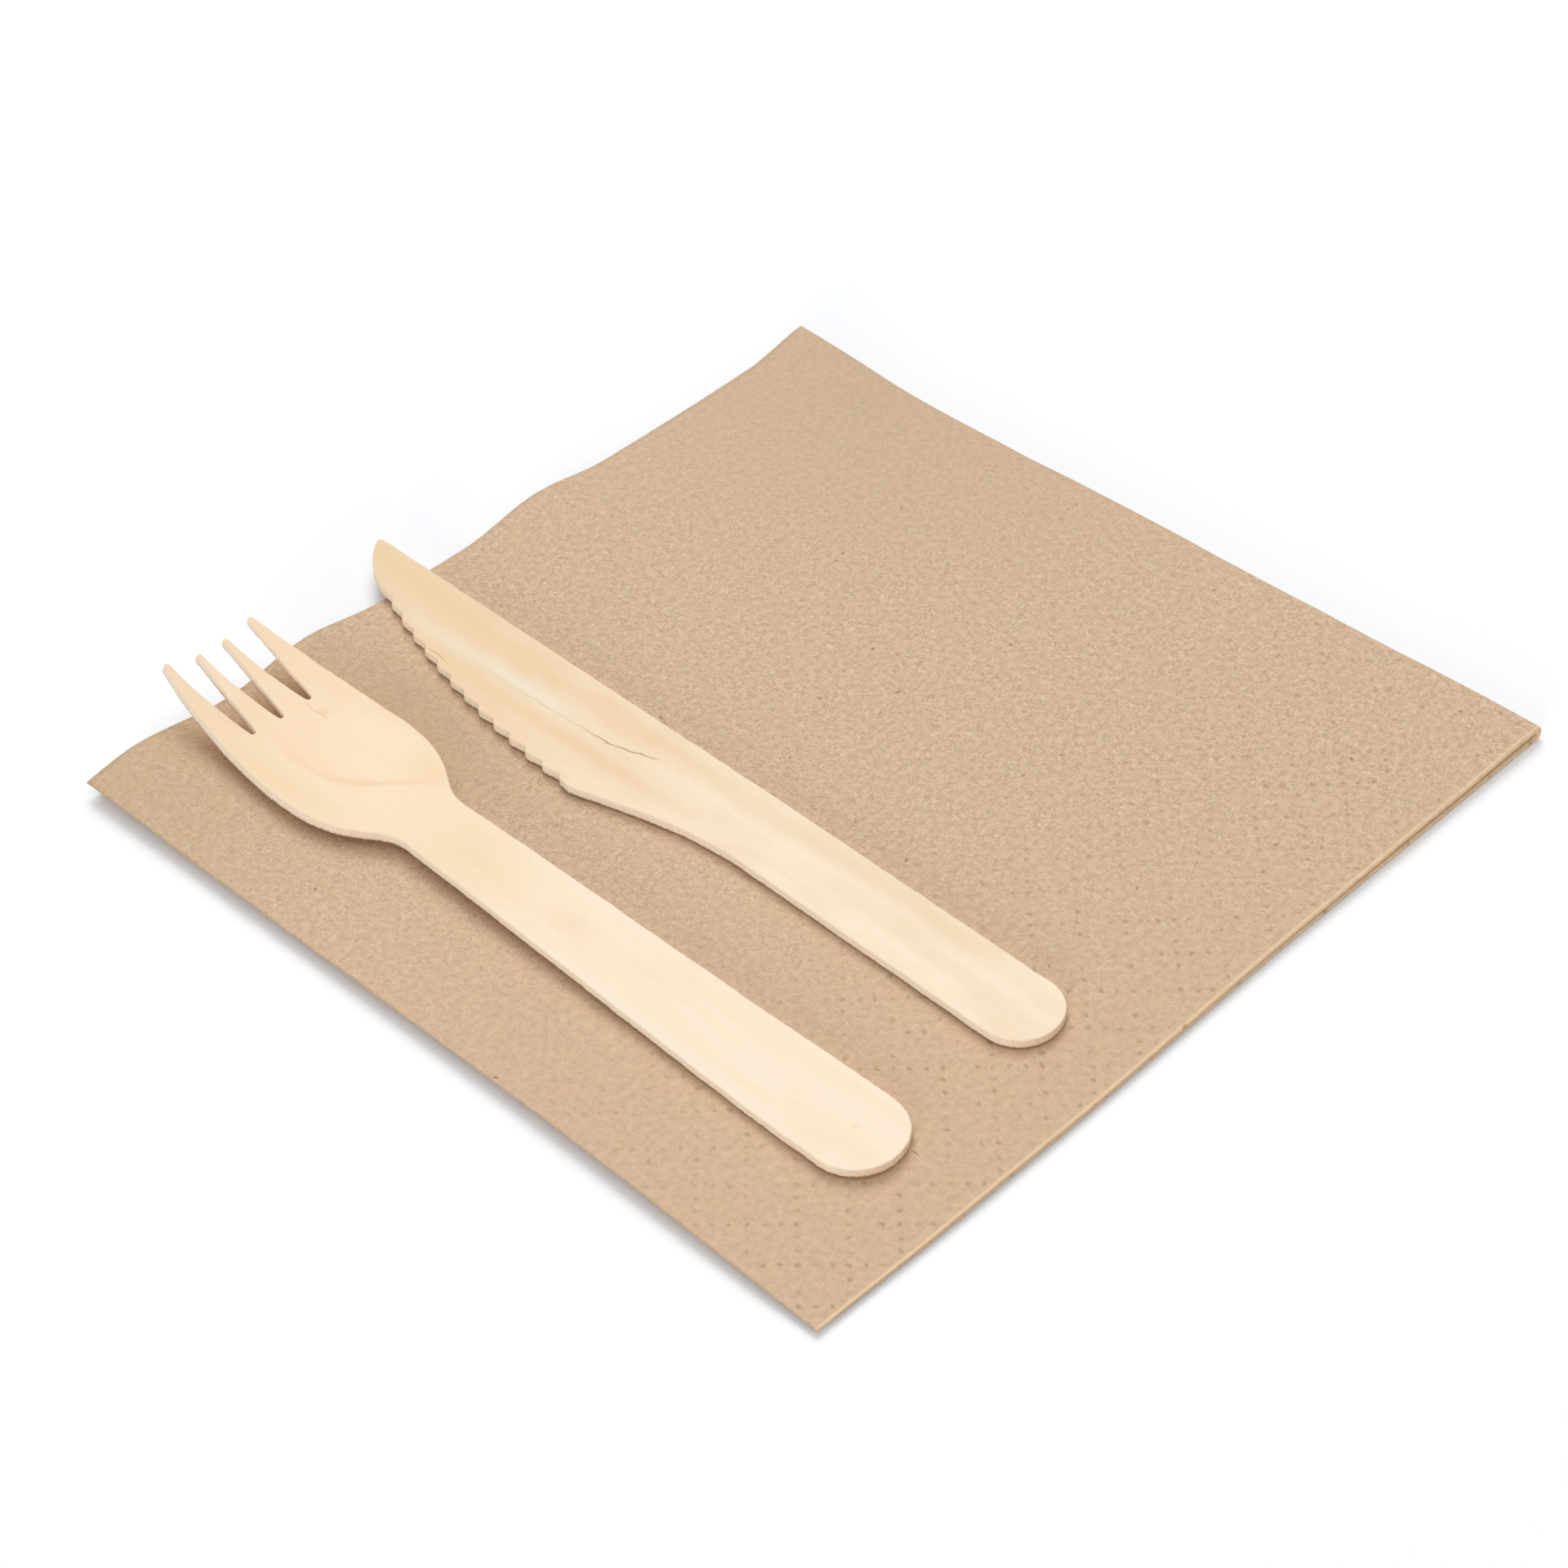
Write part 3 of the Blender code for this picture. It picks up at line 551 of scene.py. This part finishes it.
def pressed_form_tree(sizes):
    """Height that the press gives the veneer's middle at a place on the fork."""
    tree, given = step_tree("Form of the press", ("Height", "Float"), ("Place", "Vector"), sizes)
    place = put(tree, "ShaderNodeSeparateXYZ", [given["Place"]]).outputs
    climb, into_bowl = (put(tree, "ShaderNodeMapRange", [place[1], given[start], given[end]],
                            interpolation_type="SMOOTHSTEP")
                        for start, end in (("Handle flat", "Neck"), ("Neck", "Bowl bottom")))
    still_up = put(tree, "ShaderNodeMath", [1.0, into_bowl], operation="SUBTRACT")
    neck = put(tree, "ShaderNodeMath", [climb, still_up], operation="MULTIPLY")
    rise = put(tree, "ShaderNodeMapRange", [place[1], given["Bowl bottom"], given["Length"]])
    tips = put(tree, "ShaderNodeMath", [rise, 2.0], operation="POWER")
    tips = put(tree, "ShaderNodeMath", [tips, given["Tip lift"]], operation="MULTIPLY")
    cup = put(tree, "ShaderNodeMath", [place[0], place[0]], operation="MULTIPLY")
    cup = put(tree, "ShaderNodeMath", [cup, given["Cup radius"]], operation="DIVIDE")
    cup = put(tree, "ShaderNodeMath", [cup, 0.5], operation="MULTIPLY")
    height = put(tree, "ShaderNodeMath", [neck, given["Neck lift"], tips], operation="MULTIPLY_ADD")
    height = put(tree, "ShaderNodeMath", [cup, into_bowl, height], operation="MULTIPLY_ADD")
    put(tree, "NodeGroupOutput", [height])
    return tree


def press_tree():
    """Bends the flat plate to the form, its walls staying square to its faces."""
    sizes = ("Handle flat", "Neck", "Bowl bottom", "Length", "Neck lift", "Tip lift", "Cup radius")
    form = pressed_form_tree(sizes)
    tree, given = step_tree("Hot press", ("Geometry", "Geometry"), ("Plate", "Geometry"),
                            (*sizes, "Thickness"), "Veneer")
    place = put(tree, "GeometryNodeInputPosition")

    def height_at(aside):
        there = put(tree, "ShaderNodeVectorMath", [place, aside], operation="ADD")
        return put(tree, "GeometryNodeGroup", {"Place": there, **{name: given[name] for name in sizes}},
                   node_tree=form)

    step = 0.0001                   # to each side of a place, between which its slope is read
    slopes = []
    for aside in ((step, 0.0, 0.0), (0.0, step, 0.0)):
        back = tuple(-part for part in aside)
        rise = put(tree, "ShaderNodeMath", [height_at(back), height_at(aside)], operation="SUBTRACT")
        slopes.append(put(tree, "ShaderNodeMath", [rise, 2 * step], operation="DIVIDE"))
    square = put(tree, "ShaderNodeCombineXYZ", [*slopes, 1.0])
    square = put(tree, "ShaderNodeVectorMath", [square], operation="NORMALIZE")
    parts = put(tree, "ShaderNodeSeparateXYZ", [place]).outputs
    half = put(tree, "ShaderNodeMath", [given["Thickness"], 0.5], operation="MULTIPLY")
    off_middle = put(tree, "ShaderNodeMath", [parts[2], half], operation="SUBTRACT")
    middle_up = put(tree, "ShaderNodeMath", [height_at((0.0, 0.0, 0.0)), half], operation="ADD")
    middle = put(tree, "ShaderNodeCombineXYZ", [parts[0], parts[1], middle_up])
    outward = put(tree, "ShaderNodeVectorMath", {0: square, "Scale": off_middle}, operation="SCALE")
    pressed = put(tree, "ShaderNodeVectorMath", [middle, outward], operation="ADD")
    moved = put(tree, "GeometryNodeSetPosition", {"Geometry": given["Plate"], "Position": pressed})
    return ends_in(tree, moved, given["Veneer"])


def streak(tree, place, points, width, wobble=0.0):
    """A line that runs along the grain through (place across, place along, strength) points."""
    parts = put(tree, "ShaderNodeSeparateXYZ", [place]).outputs
    low, high = points[0][1], points[-1][1]
    span = max(abs(x) for x, y, strength in points) * 1.2
    share = put(tree, "ShaderNodeMapRange", [parts[1], low, high])

    def drawn(values):
        graph = put(tree, "ShaderNodeFloatCurve", {"Value": share})
        line = graph.mapping.curves[0]
        for count, ((x, y, strength), value) in enumerate(zip(points, values)):
            at = (y - low) / (high - low)
            if count < 2:
                line.points[count].location = (at, value)
            else:
                line.points.new(at, value)
        graph.mapping.update()
        return graph

    across = drawn([x / (2 * span) + 0.5 for x, y, strength in points])
    strength = drawn([strength for x, y, strength in points])
    middle = put(tree, "ShaderNodeMath", [across, 2 * span, -span], operation="MULTIPLY_ADD")
    aside = put(tree, "ShaderNodeMath", [parts[0], middle], operation="SUBTRACT")
    aside = put(tree, "ShaderNodeMath", [aside, wobble], operation="ADD")
    distance = put(tree, "ShaderNodeMath", [aside], operation="ABSOLUTE")
    line = put(tree, "ShaderNodeMapRange", [distance, 0.0, width / 2, 1.0, 0.0],
               interpolation_type="SMOOTHSTEP")
    return put(tree, "ShaderNodeMath", [line, strength], operation="MULTIPLY")


def spread(tree, place, across, along, seed, **look):
    """A noise drawn out along the grain; across and along are the sizes of its patches in mm."""
    drawn_out = put(tree, "ShaderNodeMapping", {"Vector": place, "Location": (seed, seed * 1.7, 0.0),
                                                "Scale": (1.0 / across, 1.0 / along, 1.0 / across)})
    return put(tree, "ShaderNodeTexNoise", {"Vector": drawn_out, "Scale": 1.0, **look})


# Birch veneer, rotary-cut and left bare: cream with wide, faint bands where the knife ran through
# the year rings, hair-fine fibre along it, tiny dark pores, and a flat dry sheen. Its cut walls show
# pinkish end grain. Pores are 0.05 mm wide in the wood and are drawn 0.15 mm wide, so that they show.

def birch_veneer(name, place, turn, pale, warm, tip_tone_and_shade_end, figure, seed):
    """Returns the material, its place in mm from the handle's end, and its colour so far."""
    material, tree, shader = dry_material(name, 0.62, 1.5)
    where = put(tree, "ShaderNodeTexCoord").outputs["Object"]
    in_mm = put(tree, "ShaderNodeMapping", [where, place, (0.0, 0.0, turn), (0.001, 0.001, 0.001)],
                vector_type="TEXTURE")
    along = put(tree, "ShaderNodeSeparateXYZ", [in_mm]).outputs[1]
    bands = spread(tree, in_mm, 5.0, 60.0, seed, Detail=2.0, Roughness=0.5, Distortion=0.4)
    patches = spread(tree, in_mm, 5.0, 16.0, seed + 3.0, Detail=3.0, Roughness=0.6)
    mixed = put(tree, "ShaderNodeMath", [bands, patches], operation="ADD")
    warmth = put(tree, "ShaderNodeMapRange", [mixed, 0.60, 1.50])
    # Warmer and darker towards the tip: partly the wood's own tone, partly painted shade where the light
    # falls off towards the tips.
    tip_tone_and_shade = put(tree, "ShaderNodeMapRange", [along, 60.0, 160.0, -0.30, tip_tone_and_shade_end])
    warmth = put(tree, "ShaderNodeMath", [warmth, tip_tone_and_shade], operation="ADD", use_clamp=True)
    wood = stained(tree, colour(pale), warmth, 1.0, warm)

    rings = spread(tree, in_mm, 16.0, 45.0, seed + 5.0, Detail=1.0)
    rings = put(tree, "ShaderNodeMath", [rings, 5.0], operation="MULTIPLY")
    rings = put(tree, "ShaderNodeMath", [rings, 1.0], operation="PINGPONG")
    ring_edge = put(tree, "ShaderNodeMapRange", [rings, 0.72, 1.0], interpolation_type="SMOOTHSTEP")
    wood = stained(tree, wood, ring_edge, figure, "#EBC59A")
    fibre = spread(tree, in_mm, 0.30, 6.0, seed + 11.0, Detail=2.0, Roughness=0.6, Distortion=0.2)
    coarse = spread(tree, in_mm, 1.3, 16.0, seed + 17.0, Detail=2.0, Distortion=0.5)
    grain = put(tree, "ShaderNodeMath", [coarse, 0.9, fibre], operation="MULTIPLY_ADD")
    shade = put(tree, "ShaderNodeMapRange", [grain, 0.6, 1.3, 0.975, 1.010])
    wood = put(tree, "ShaderNodeVectorMath", {0: wood, "Scale": shade}, operation="SCALE")

    stretched = put(tree, "ShaderNodeMapping", {"Vector": in_mm, "Scale": (1.0 / 0.8, 1.0 / 3.5, 1.0)})
    pores = put(tree, "ShaderNodeTexVoronoi", {"Vector": stretched}, voronoi_dimensions="2D").outputs
    pore = put(tree, "ShaderNodeMapRange", [pores["Distance"], 0.05, 0.15, 1.0, 0.0])
    chance = put(tree, "ShaderNodeSeparateColor", [pores["Color"]])
    pore = put(tree, "ShaderNodeMath", [pore, chance], operation="MULTIPLY")
    wood = stained(tree, wood, pore, 0.12, "#C99D6C")
    relief = put(tree, "ShaderNodeMath", [pore, -0.4, fibre], operation="MULTIPLY_ADD")
    bump = put(tree, "ShaderNodeBump", {"Height": relief, "Strength": 0.3, "Distance": 0.00004})
    tree.links.new(bump.outputs[0], shader.inputs["Normal"])
    return material, in_mm, wood


def cut_walls(material, in_mm, turn, wood):
    """Finish the veneer with the stamped walls: like the face along the grain, darker across it,
    and darkened brown by painted shade near the lower face, where the wall meets the napkin."""
    tree = material.node_tree
    wall_mottle = put(tree, "ShaderNodeMapping", {"Vector": in_mm, "Scale": (2.2, 2.2, 0.5)})
    wall_mottle = put(tree, "ShaderNodeTexNoise", {"Vector": wall_mottle, "Scale": 1.0, "Detail": 3.0})
    tone = put(tree, "ShaderNodeMapRange", [wall_mottle, 0.3, 0.7])
    across = stained(tree, colour("#EED0B2"), tone, 1.0, "#FBE3C8")
    along = stained(tree, colour("#FBE8D1"), tone, 1.0, "#FFF3E2")
    facing = put(tree, "ShaderNodeNewGeometry").outputs["Normal"]
    facing = put(tree, "ShaderNodeVectorRotate", {"Vector": facing, "Angle": -turn}, rotation_type="Z_AXIS")
    facing = put(tree, "ShaderNodeVectorMath", [facing], operation="ABSOLUTE")
    parts = put(tree, "ShaderNodeSeparateXYZ", [facing]).outputs
    cross_cut = put(tree, "ShaderNodeMapRange", [parts[1], 0.35, 0.85])
    wall = put(tree, "ShaderNodeMix", {"Factor": cross_cut, 6: along, 7: across}, data_type="RGBA")
    # Painted shade: the lower part of each wall is darkened brown, as the shade where the wall nears the
    # napkin.
    depth = put(tree, "ShaderNodeAttribute", attribute_name="depth in veneer").outputs["Fac"]
    painted_contact_shade = put(tree, "ShaderNodeMath", [wall_mottle, 0.5, depth], operation="MULTIPLY_ADD")
    painted_contact_shade = put(tree, "ShaderNodeMapRange", [painted_contact_shade, 0.94, 1.18])
    wall = stained(tree, wall.outputs[2], painted_contact_shade, 0.85, "#835A38")
    on_wall = put(tree, "ShaderNodeMapRange", [parts[2], 0.25, 0.75, 1.0, 0.0])
    both = put(tree, "ShaderNodeMix", {"Factor": on_wall, 6: wood, 7: wall}, data_type="RGBA")
    tree.links.new(both.outputs[2], tree.nodes["Principled BSDF"].inputs["Base Color"])


def lay_down(thing, place, turn):
    """Even out the shading over the rims and lay the finished piece in its place."""
    thing.modifiers.new("Soft rims", "WEIGHTED_NORMAL").weight = 90
    finish_mesh(thing)
    thing.data.transform(Matrix.Translation(place) @ Matrix.Rotation(turn, 4, "Z"))


fork_veneer, in_mm, wood = birch_veneer("Birch veneer of the fork", fork_place, fork_turn,
                                        "#FDEBD3", "#FADFBD", 0.55, 0.04, 3.0)
tree = fork_veneer.node_tree
warm_stain = "#F3D6A8"
for centre, size, turn, strength, code in (
        ((-10.0, 128.0), (13.0, 56.0), 0.0, 0.55, warm_stain),
        ((8.0, 111.0), (10.0, 22.0), 0.0, 0.60, warm_stain),
        ((-1.0, 93.0), (20.0, 40.0), 0.0, 0.40, warm_stain),
        ((-4.0, 141.0), (9.0, 18.0), 0.0, 0.35, warm_stain),
        ((0.0, 69.3), (7.0, 16.0), 0.0, 0.40, "#F3CFA8"), ((0.2, 8.6), (1.6, 2.6), 0.0, 0.35, "#F2C79C"),
        ((5.5, 135.6), (2.4, 3.0), 30.0, 0.40, "#E9BE92")):
    wood = stained(tree, wood, blotch(tree, in_mm, centre, size, turn), strength, code)
pin_knot = [(4.9, 134.0, 0.0), (5.1, 134.7, 0.8), (4.8, 135.9, 1.0), (4.6, 137.2, 1.0), (4.9, 139.3, 0.0)]
wood = stained(tree, wood, streak(tree, in_mm, pin_knot, 0.5), 0.40, "#D5A473")
bowl_line = [(7.6, 107.4, 0.0), (5.1, 110.9, 0.6), (1.7, 114.6, 1.0), (-1.3, 118.8, 1.0),
             (-3.8, 123.6, 0.8), (-4.5, 127.7, 0.7), (-4.6, 133.4, 0.4), (-3.2, 138.2, 0.0)]
wood = stained(tree, wood, streak(tree, in_mm, bowl_line, 3.2), 0.38, "#EDC390")
cut_walls(fork_veneer, in_mm, fork_turn, wood)
cuts = [start + (end - start) * cell / cells
        for start, end, cells in ((handle_flat, neck_place, 24), (neck_place, fork_length, 44))
        for cell in range(cells)]
fork = added("fork_veneer", stamped_veneer(ragged(trimmed(fork_outline()), 11.0), cuts,
                                           [head_half * (cell / 10 - 1.0) for cell in range(1, 20)]))
work_on(fork, press_tree(), {
    "Handle flat": handle_flat, "Neck": neck_place, "Bowl bottom": bowl_bottom, "Length": fork_length,
    "Neck lift": neck_lift, "Tip lift": tip_lift, "Cup radius": cup_radius,
    "Thickness": veneer_thickness, "Veneer": fork_veneer})
lay_down(fork, fork_place, fork_turn)
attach(fork, "root")
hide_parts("fork")


# Knife: stamped flat from the same veneer, with a straight back and thirteen sawn teeth that run
# on a long curve from the heel to the tip. It lies flat on the napkin, its tip over the back edge.

knife_place = Vector((-0.01227, -0.0709, cutlery_base))
knife_turn = math.radians(-0.81)
knife_length, knife_half, blade_width, tip_blunt = 0.1637, 0.0071, 0.0207, 0.0007
heel_place, back_place, waist_place, lean = 0.0932, 0.0660, 0.0600, 0.0006
edge_radius, edge_level = 0.182, 0.0880         # of the long curve, and where it is furthest out
tooth_count, tooth_pitch, tooth_depth, tooth_step, first_tooth = 13, 0.00446, 0.00085, 0.0010, 0.0953
tooth_wear = 0.14                               # share of its depth that each point has lost
last_valley = first_tooth + (tooth_count - 1) * tooth_pitch + tooth_step


def cutting_curve(y):
    """Place of the curve that the tooth points lie on, at a distance along the back."""
    return -blade_width + edge_radius - math.sqrt(edge_radius ** 2 - (y - edge_level) ** 2)


def knife_outline():
    """Round the knife, its cutting edge still smooth, with a corner wherever a tooth will turn."""
    valley_x = cutting_curve(last_valley) + tooth_depth
    points = [(0.0, knife_length - tip_blunt)]
    points += bent((-tip_blunt, knife_length), (-tip_blunt - 0.0041, knife_length - 0.0027),
                   (valley_x, last_valley + 0.0062), (valley_x, last_valley), 30)
    for tooth in reversed(range(tooth_count)):
        point_y = first_tooth + tooth * tooth_pitch
        for y in (point_y + tooth_step, point_y + tooth_wear * tooth_step,
                  point_y - tooth_wear * (tooth_pitch - tooth_step)):
            points.append((cutting_curve(y), y))
    waist_x = -2 * knife_half
    points += bent((-blade_width, heel_place), (-blade_width, heel_place - 0.0022),
                   (waist_x, waist_place + 0.0160), (waist_x, waist_place), 32)
    points += round_end((-lean - knife_half, knife_half), knife_half, 180, 360, 40)
    return points + [(0.0, back_place)]


def mark_cutting_edge(mesh):
    """Gives the points of the cutting edge, wall and rims, the value 1 and all the others 0."""
    marks = mesh.attributes.new("cutting edge", "FLOAT", "POINT")
    for point, mark in zip(mesh.vertices, marks.data):
        x, y = point.co.x, point.co.y
        if y > first_tooth - 0.0008 and x < cutting_curve(y) + lower_round + 0.0003:
            mark.value = 1.0 - ease(last_valley + 0.0001, last_valley + 0.0006, y)


def saw_tree():
    """Moves the marked points into the blade where a saw with straight teeth would leave them."""
    tree, given = step_tree("Saw teeth", ("Geometry", "Geometry"), ("Plate", "Geometry"),
                            ("First tooth", "Pitch", "Step", "Depth", "Wear"), "Veneer")
    place = put(tree, "GeometryNodeInputPosition")
    along = put(tree, "ShaderNodeSeparateXYZ", [place]).outputs[1]
    from_first = put(tree, "ShaderNodeMath", [along, given["First tooth"]], operation="SUBTRACT")
    teeth = put(tree, "ShaderNodeMath", [from_first, given["Pitch"]], operation="DIVIDE")
    within = put(tree, "ShaderNodeMath", [teeth], operation="FRACT")
    steep = put(tree, "ShaderNodeMath", [given["Step"], given["Pitch"]], operation="DIVIDE")
    front = put(tree, "ShaderNodeMath", [within, steep], operation="DIVIDE")
    left, slow = (put(tree, "ShaderNodeMath", [1.0, share], operation="SUBTRACT")
                  for share in (within, steep))
    back = put(tree, "ShaderNodeMath", [left, slow], operation="DIVIDE")
    inward = put(tree, "ShaderNodeMath", [front, back], operation="MINIMUM")
    inward = put(tree, "ShaderNodeMath", [inward, given["Wear"]], operation="MAXIMUM")
    edge = put(tree, "GeometryNodeInputNamedAttribute", {"Name": "cutting edge"}, data_type="FLOAT")
    for factor in (given["Depth"], edge):
        inward = put(tree, "ShaderNodeMath", [inward, factor], operation="MULTIPLY")
    aside = put(tree, "ShaderNodeCombineXYZ", [inward])
    sawn = put(tree, "GeometryNodeSetPosition", {"Geometry": given["Plate"], "Offset": aside})
    return ends_in(tree, sawn, given["Veneer"])


knife_veneer, in_mm, wood = birch_veneer("Birch veneer of the knife", knife_place, knife_turn,
                                         "#FCE9D0", "#F0D4AF", 0.95, 0.12, 41.0)
tree = knife_veneer.node_tree
tan_band = [(-3.4, 14.0, 0.0), (-2.6, 34.0, 0.9), (-3.6, 72.0, 0.8), (-4.6, 110.0, 0.8),
            (-3.4, 150.0, 1.0), (-2.6, 164.0, 0.9)]
lower_band = [(-12.4, 72.0, 0.0), (-12.8, 88.0, 0.9), (-13.2, 104.0, 1.0), (-13.4, 120.0, 0.5),
              (-12.6, 142.0, 0.0)]
pale_stripe = [(-8.8, 98.0, 0.0), (-9.1, 105.2, 0.5), (-9.3, 112.6, 1.0), (-9.3, 121.2, 1.0),
               (-9.8, 130.4, 0.8), (-10.2, 139.8, 0.5), (-9.4, 150.0, 0.0)]
grey_line = [(-6.5, 86.5, 0.0), (-7.4, 89.4, 0.9), (-8.6, 92.8, 1.0), (-9.3, 95.7, 1.0),
             (-9.6, 100.9, 0.8), (-10.1, 107.0, 0.5), (-10.3, 111.5, 0.6), (-10.6, 119.7, 0.35),
             (-10.4, 128.2, 0.15), (-10.0, 134.0, 0.0)]
brown_end = [(-6.7, 87.0, 0.0), (-8.0, 91.0, 1.0), (-9.2, 95.5, 0.8), (-9.6, 100.0, 0.0)]
split = [(-13.9, 129.4, 0.0), (-13.8, 130.8, 0.6), (-13.7, 132.6, 1.0), (-13.7, 134.7, 1.0),
         (-13.6, 135.6, 0.0)]
wavy = put(tree, "ShaderNodeMapRange", [spread(tree, in_mm, 1.5, 2.5, 9.0, Detail=2.0), 0.0, 1.0, -0.5, 0.5])
for line, width, strength, code in ((tan_band, 8.0, 0.60, "#ECCDA2"), (lower_band, 5.5, 0.60, "#ECCB9F"),
                                    (pale_stripe, 5.0, 0.60, "#F1E8D4"),
                                    (grey_line, 0.6, 0.45, "#AC9C7E"), (brown_end, 0.5, 0.60, "#8E6B47"),
                                    (split, 0.4, 0.8, "#C98550")):
    wood = stained(tree, wood, streak(tree, in_mm, line, width, wavy), strength, code)
cut_walls(knife_veneer, in_mm, knife_turn, wood)
knife = added("knife_veneer", stamped_veneer(ragged(knife_outline(), 23.0)))
mark_cutting_edge(knife.data)
work_on(knife, saw_tree(), {"First tooth": first_tooth, "Pitch": tooth_pitch, "Step": tooth_step,
                            "Depth": tooth_depth, "Wear": tooth_wear, "Veneer": knife_veneer})
lay_down(knife, knife_place, knife_turn)
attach(knife, "root")
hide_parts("knife")


# Table: a plain white surface, and soft light from a studio's ceiling panel, a broad lamp behind the
# set at the right, a low one at the left that fills the shade, and the white room around them. All
# three are far off, so the light is even. The camera looks down from the side of the fork.

table_mesh = bpy.data.meshes.new("table")
table_mesh.from_pydata([(-3, -3, 0), (3, -3, 0), (3, 3, 0), (-3, 3, 0)], [], [(0, 1, 2, 3)])
table = added("table", table_mesh)

white = bpy.data.materials.new("White table top")
white.use_nodes = True
tree = white.node_tree
shader = tree.nodes["Principled BSDF"]
shader.inputs["Base Color"].default_value = colour("#E6E6E6")
shader.inputs["Roughness"].default_value = 0.9
seen = put(tree, "ShaderNodeLightPath").outputs
matte = put(tree, "ShaderNodeBsdfDiffuse", {"Color": (0.93, 0.95, 0.975, 1.0)})
glow = put(tree, "ShaderNodeEmission", {"Color": (1.0, 1.0, 1.0, 1.0), "Strength": 0.08})
shown = put(tree, "ShaderNodeAddShader", [matte, glow])
either = put(tree, "ShaderNodeMixShader", [seen["Is Camera Ray"], shader, shown])
tree.links.new(either.outputs[0], tree.nodes["Material Output"].inputs["Surface"])
table_mesh.materials.append(white)

for name, place, size, energy in (("ceiling_panel", (0.0, 0.0, 6.0), 8.0, 124.8),
                                  ("broad_lamp", (4.08, 4.2, 6.68), 5.6, 384.0),
                                  ("fill_lamp", (-4.4, -2.0, 1.12), 1.6, 73.6)):
    lamp_data = bpy.data.lights.new(name, "AREA")
    lamp_data.shape = "DISK"
    lamp_data.size = size
    lamp_data.energy = energy
    lamp = added(name, lamp_data)
    lamp.location = place
    lamp.rotation_euler = Vector(place).to_track_quat("Z", "Y").to_euler()

room = bpy.data.worlds.new("white_room")
room.use_nodes = True
bpy.context.scene.world = room
tree = room.node_tree
tree.nodes.clear()
seen = put(tree, "ShaderNodeLightPath").outputs
direct = seen["Is Camera Ray"]
for ray in ("Is Glossy Ray", "Is Transmission Ray"):
    direct = put(tree, "ShaderNodeMath", [direct, seen[ray]], operation="MAXIMUM")
lighting, backdrop = (put(tree, "ShaderNodeBackground", {"Color": (1.0, 1.0, 1.0, 1.0), "Strength": strength})
                      for strength in (0.34, 1.0))
mixed = put(tree, "ShaderNodeMixShader", [direct, lighting, backdrop])
put(tree, "ShaderNodeOutputWorld", [mixed])

camera_data = bpy.data.cameras.new("camera")
camera_data.sensor_width = 36.0
camera_data.lens = 92.32
camera_data.clip_start = 0.01
camera = added("camera", camera_data)
camera.location = (-0.33000, -0.34743, 0.43592)
camera.rotation_euler = (math.radians(47.478), math.radians(2.579), math.radians(-45.403))
bpy.context.scene.camera = camera
bpy.context.scene.view_settings.view_transform = "Standard"
